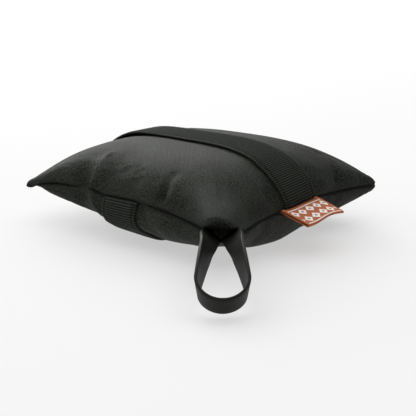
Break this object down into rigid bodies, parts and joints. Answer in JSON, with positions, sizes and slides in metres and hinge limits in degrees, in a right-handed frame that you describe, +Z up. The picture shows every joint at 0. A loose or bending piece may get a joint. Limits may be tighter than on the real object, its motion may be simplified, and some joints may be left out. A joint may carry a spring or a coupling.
{
  "type": "support bag",
  "caption": "Small filled pillow-shaped support bag with elastic hand straps over and under it, a corner carry loop and a side label.",
  "frame": {"origin": "centre of the flat patch that the bag rests on", "axes": "+Z up, X along the top strap, Y along the bottom strap, the carry loop leaves the corner at +X -Y"},
  "size_m": [0.3035, 0.2835, 0.0772],
  "materials": {
    "nylon": "coarse woven, matt",
    "elastic": "ribbed woven elastic",
    "loop_strap": "smooth, satin",
    "ribbon": "woven ribbon",
    "thread": "twisted thread",
    "binding": "woven tape",
    "liner": "thin plain weave",
    "beads": "small round beads"
  },
  "bodies": {
    "bag": {"top_panel": "nylon", "bottom_panel": "nylon", "seam_binding": "binding", "seam_stitching": "thread", "strap_tacks": "thread", "closing_stitches": "thread", "fill_pouch": "liner", "bead_fill": "beads", "top_strap_left_end": "elastic", "top_strap_right_end": "elastic", "bottom_strap_near_end": "elastic", "bottom_strap_far_end": "elastic", "carry_loop_root": "loop_strap", "label_root": "ribbon"},
    "top_strap": {"top_strap_middle": "elastic"},
    "bottom_strap": {"bottom_strap_middle": "elastic"},
    "loop": {"carry_loop": "loop_strap"},
    "label_flap": {"label": "ribbon"}
  },
  "joints": [
    {"name": "top_strap_stretch", "type": "slide", "parent": "bag", "child": "top_strap", "axis": [0, 0, 1], "range_m": [0, 0.03], "stiffness_N_per_m": 300},
    {"name": "bottom_strap_stretch", "type": "slide", "parent": "bag", "child": "bottom_strap", "axis": [0, 0, -1], "range_m": [0, 0.03], "stiffness_N_per_m": 300},
    {"name": "carry_loop_flex", "type": "hinge", "parent": "bag", "child": "loop", "pos_m": [0.11564, -0.10308, 0.0373], "axis": [-0.7408, -0.6717, 0], "range_deg": [-30, 80], "stiffness_Nm_per_rad": 0.25},
    {"name": "label_flex", "type": "hinge", "parent": "bag", "child": "label_flap", "pos_m": [0.1087, 0.0045, 0.0359], "axis": [0, -1, 0], "range_deg": [-50, 45], "stiffness_Nm_per_rad": 0.02}
  ]
}
